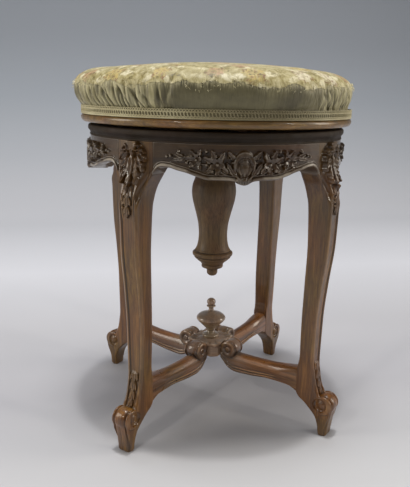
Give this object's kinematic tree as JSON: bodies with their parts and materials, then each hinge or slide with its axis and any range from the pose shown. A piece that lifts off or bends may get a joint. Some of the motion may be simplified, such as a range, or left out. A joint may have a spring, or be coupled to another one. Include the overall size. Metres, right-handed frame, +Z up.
{
  "type": "revolving piano stool",
  "caption": "Round revolving stool on carved cabriole legs with a scrolled cross stretcher, a turned pendant under a carved apron, and a stuffed silk seat on a lifting screw",
  "frame": {"origin": "on the floor, on the axis that the seat turns about, under the middle of the stool", "axes": "+Z up along the screw; -Y towards the front apron; the legs stand on the diagonals"},
  "size_m": [0.381, 0.381, 0.5],
  "materials": {
    "walnut": "french polished walnut, mid brown, worn to honey on the edges",
    "walnut_dark": "french polished walnut, dark brown, carved",
    "beech": "planed, unpolished",
    "cast_iron": "black",
    "steel": "bare, greased",
    "silk": "straw and olive figured silk, faded and frayed",
    "hair_stuffing": "curled hair",
    "braid": "woven gimp"
  },
  "bodies": {
    "frame": {"leg_front_left": "walnut", "stretcher_arm_front_left": "walnut", "leg_dowel_front_left": "beech", "boss_dowel_front_left": "beech", "leg_front_right": "walnut", "stretcher_arm_front_right": "walnut", "leg_dowel_front_right": "beech", "boss_dowel_front_right": "beech", "leg_back_right": "walnut", "stretcher_arm_back_right": "walnut", "leg_dowel_back_right": "beech", "boss_dowel_back_right": "beech", "leg_back_left": "walnut", "stretcher_arm_back_left": "walnut", "leg_dowel_back_left": "beech", "boss_dowel_back_left": "beech", "apron_front": "walnut_dark", "top_ring_front": "walnut_dark", "apron_dowel_front_a": "beech", "apron_dowel_front_b": "beech", "apron_right": "walnut_dark", "top_ring_right": "walnut_dark", "apron_dowel_right_a": "beech", "apron_dowel_right_b": "beech", "apron_back": "walnut_dark", "top_ring_back": "walnut_dark", "apron_dowel_back_a": "beech", "apron_dowel_back_b": "beech", "apron_left": "walnut_dark", "top_ring_left": "walnut_dark", "apron_dowel_left_a": "beech", "apron_dowel_left_b": "beech", "boss": "walnut", "urn_finial": "walnut_dark", "cross_rail_upper": "beech", "cross_rail_lower": "beech", "screw_nut": "cast_iron", "pendant": "walnut", "pendant_drop": "walnut_dark", "nut_screw_1": "steel", "nut_screw_2": "steel", "nut_screw_3": "steel", "nut_screw_4": "steel"},
    "lift": {"stop_washer": "steel"},
    "seat": {"screw_spindle": "steel", "seat_flange": "cast_iron", "flange_pin": "steel", "washer_screw": "steel", "seat_board": "walnut", "tacking_board": "beech", "seat_stuffing": "hair_stuffing", "seat_cover": "silk", "gimp_braid": "braid", "seat_screw_1": "steel", "seat_screw_2": "steel", "seat_screw_3": "steel", "seat_screw_4": "steel"}
  },
  "joints": [
    {"name": "seat_rise", "type": "slide", "parent": "frame", "child": "lift", "axis": [0, 0, 1], "range_m": [0, 0.12]},
    {"name": "seat_turn", "type": "hinge", "parent": "lift", "child": "seat", "pos_m": [0, 0, 0.4], "axis": [0, 0, 1], "range_deg": [0, 4320]}
  ],
  "couplings": [
    {"joint": "seat_rise", "follows": "seat_turn", "m_per_rad": 0.0015915}
  ]
}
